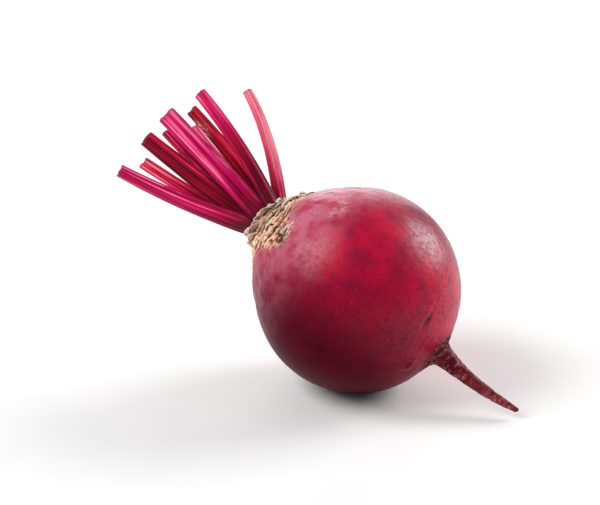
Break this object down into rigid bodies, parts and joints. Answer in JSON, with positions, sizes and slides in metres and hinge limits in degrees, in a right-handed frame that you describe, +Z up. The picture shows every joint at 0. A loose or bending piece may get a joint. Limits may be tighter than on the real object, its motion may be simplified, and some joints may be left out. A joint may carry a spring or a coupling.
{
  "type": "beetroot",
  "caption": "Whole beetroot lying on its side: round swollen root with a tapering tap root, a corky crown of dried leaf bases, and a fan of cut leaf stalks.",
  "frame": {"origin": "centre of the small flat spot that the globe rests on, on the resting surface", "axes": "+Z up, square to the resting surface; X along the root, with the tap root towards +X and the crown and leaf stalks rising towards -X; +Y completes a right-handed frame"},
  "size_m": [0.1668, 0.0799, 0.1078],
  "materials": {
    "root_skin": "satin crimson-purple skin",
    "crown_bark": "dry corky tan",
    "leaf_stalk": "satin crimson"
  },
  "bodies": {
    "root": {"swollen_root": "root_skin", "crown": "crown_bark", "leaf_stalk_1": "leaf_stalk", "leaf_stalk_2": "leaf_stalk", "leaf_stalk_3": "leaf_stalk", "leaf_stalk_4": "leaf_stalk", "leaf_stalk_5": "leaf_stalk", "leaf_stalk_6": "leaf_stalk", "leaf_stalk_7": "leaf_stalk", "leaf_stalk_8": "leaf_stalk", "leaf_stalk_9": "leaf_stalk"}
  },
  "joints": []
}
